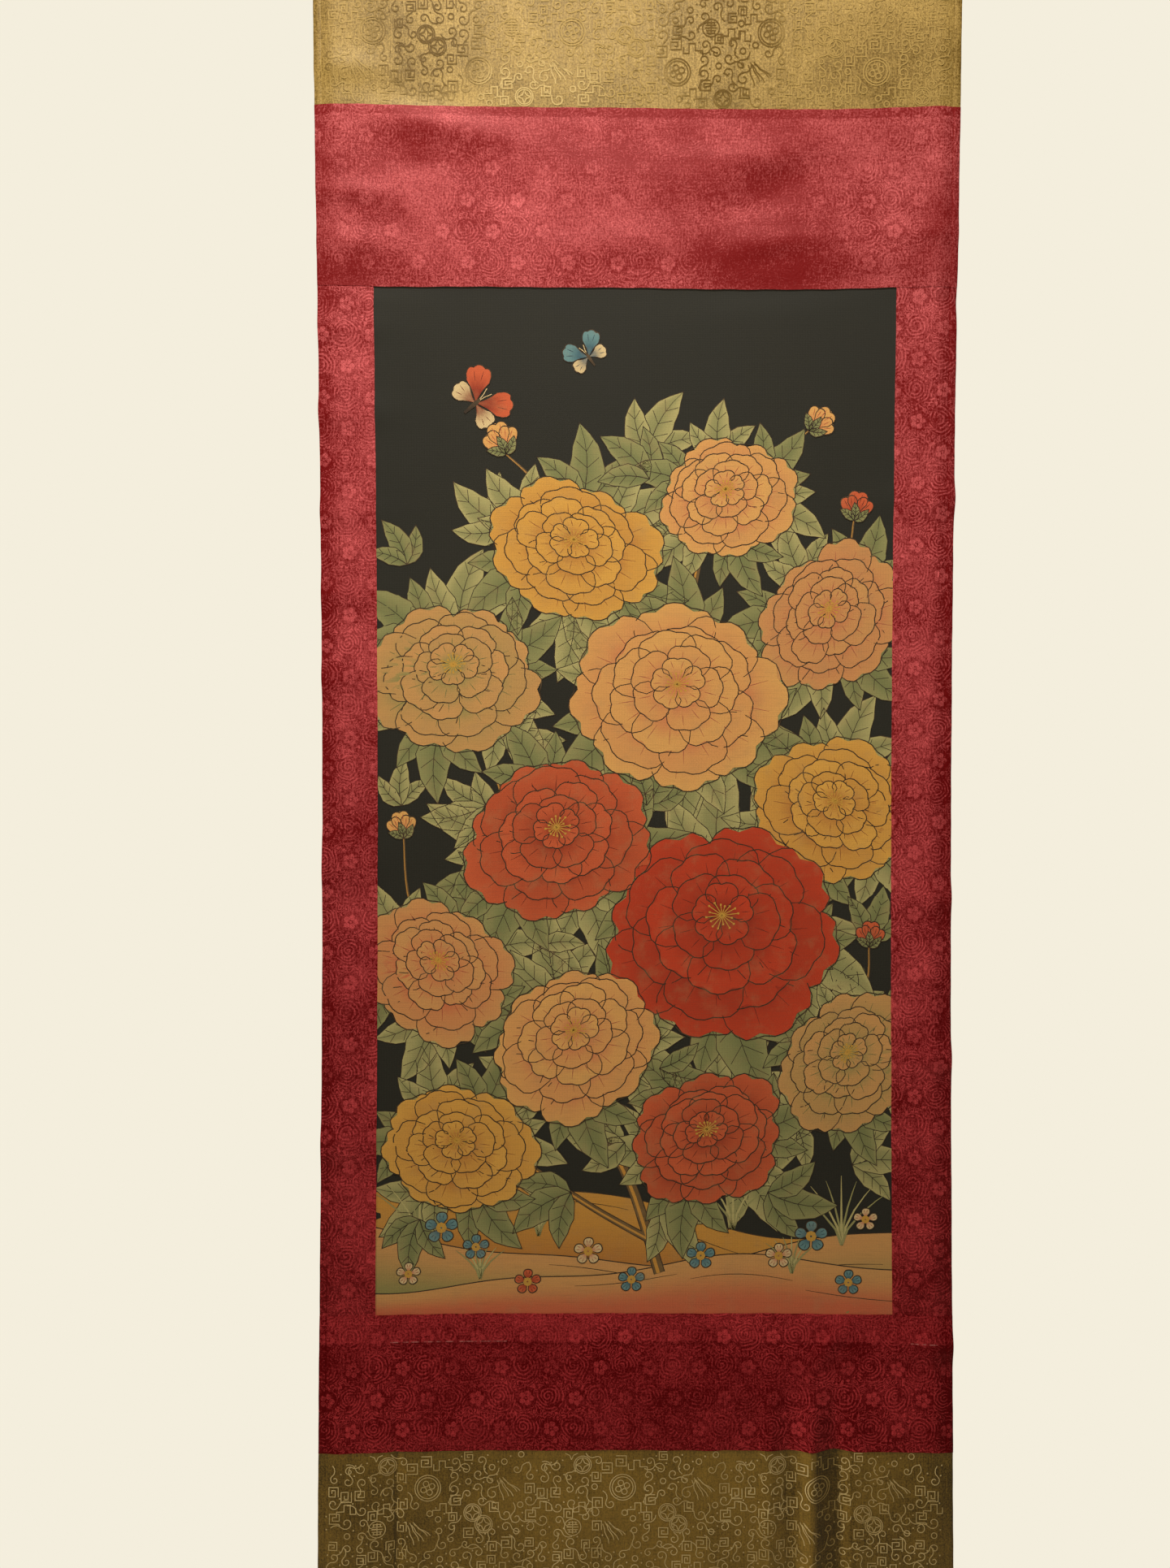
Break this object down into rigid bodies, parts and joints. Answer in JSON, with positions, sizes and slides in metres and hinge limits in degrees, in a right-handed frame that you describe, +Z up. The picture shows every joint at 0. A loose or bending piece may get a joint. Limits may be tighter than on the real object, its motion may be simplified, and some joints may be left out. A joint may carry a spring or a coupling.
{
  "type": "chinese hanging scroll painting",
  "caption": "Painted silk panel in a mount of crimson and gold brocade, hung by its top edge, with softly curled sides, shallow ripples and pleats at the foot.",
  "frame": {"origin": "middle of the top edge, on the face", "axes": "+X to the viewer's right, +Z up, the face looks along -Y"},
  "size_m": [0.582, 0.0275, 1.736],
  "materials": {
    "gold_brocade": "worn gold silk damask with a soft sheen, patterned with coins, frets and medallions",
    "crimson_brocade": "crimson silk damask with small flowers and scrolls, faded and creased",
    "painted_silk": "matt dark silk with mineral colours painted on it"
  },
  "bodies": {
    "root": {"top_gold_panel": "gold_brocade", "top_crimson_panel": "crimson_brocade", "left_crimson_strip": "crimson_brocade", "right_crimson_strip": "crimson_brocade", "painting_panel": "painted_silk", "bottom_crimson_panel": "crimson_brocade", "bottom_gold_panel": "gold_brocade"}
  },
  "joints": []
}
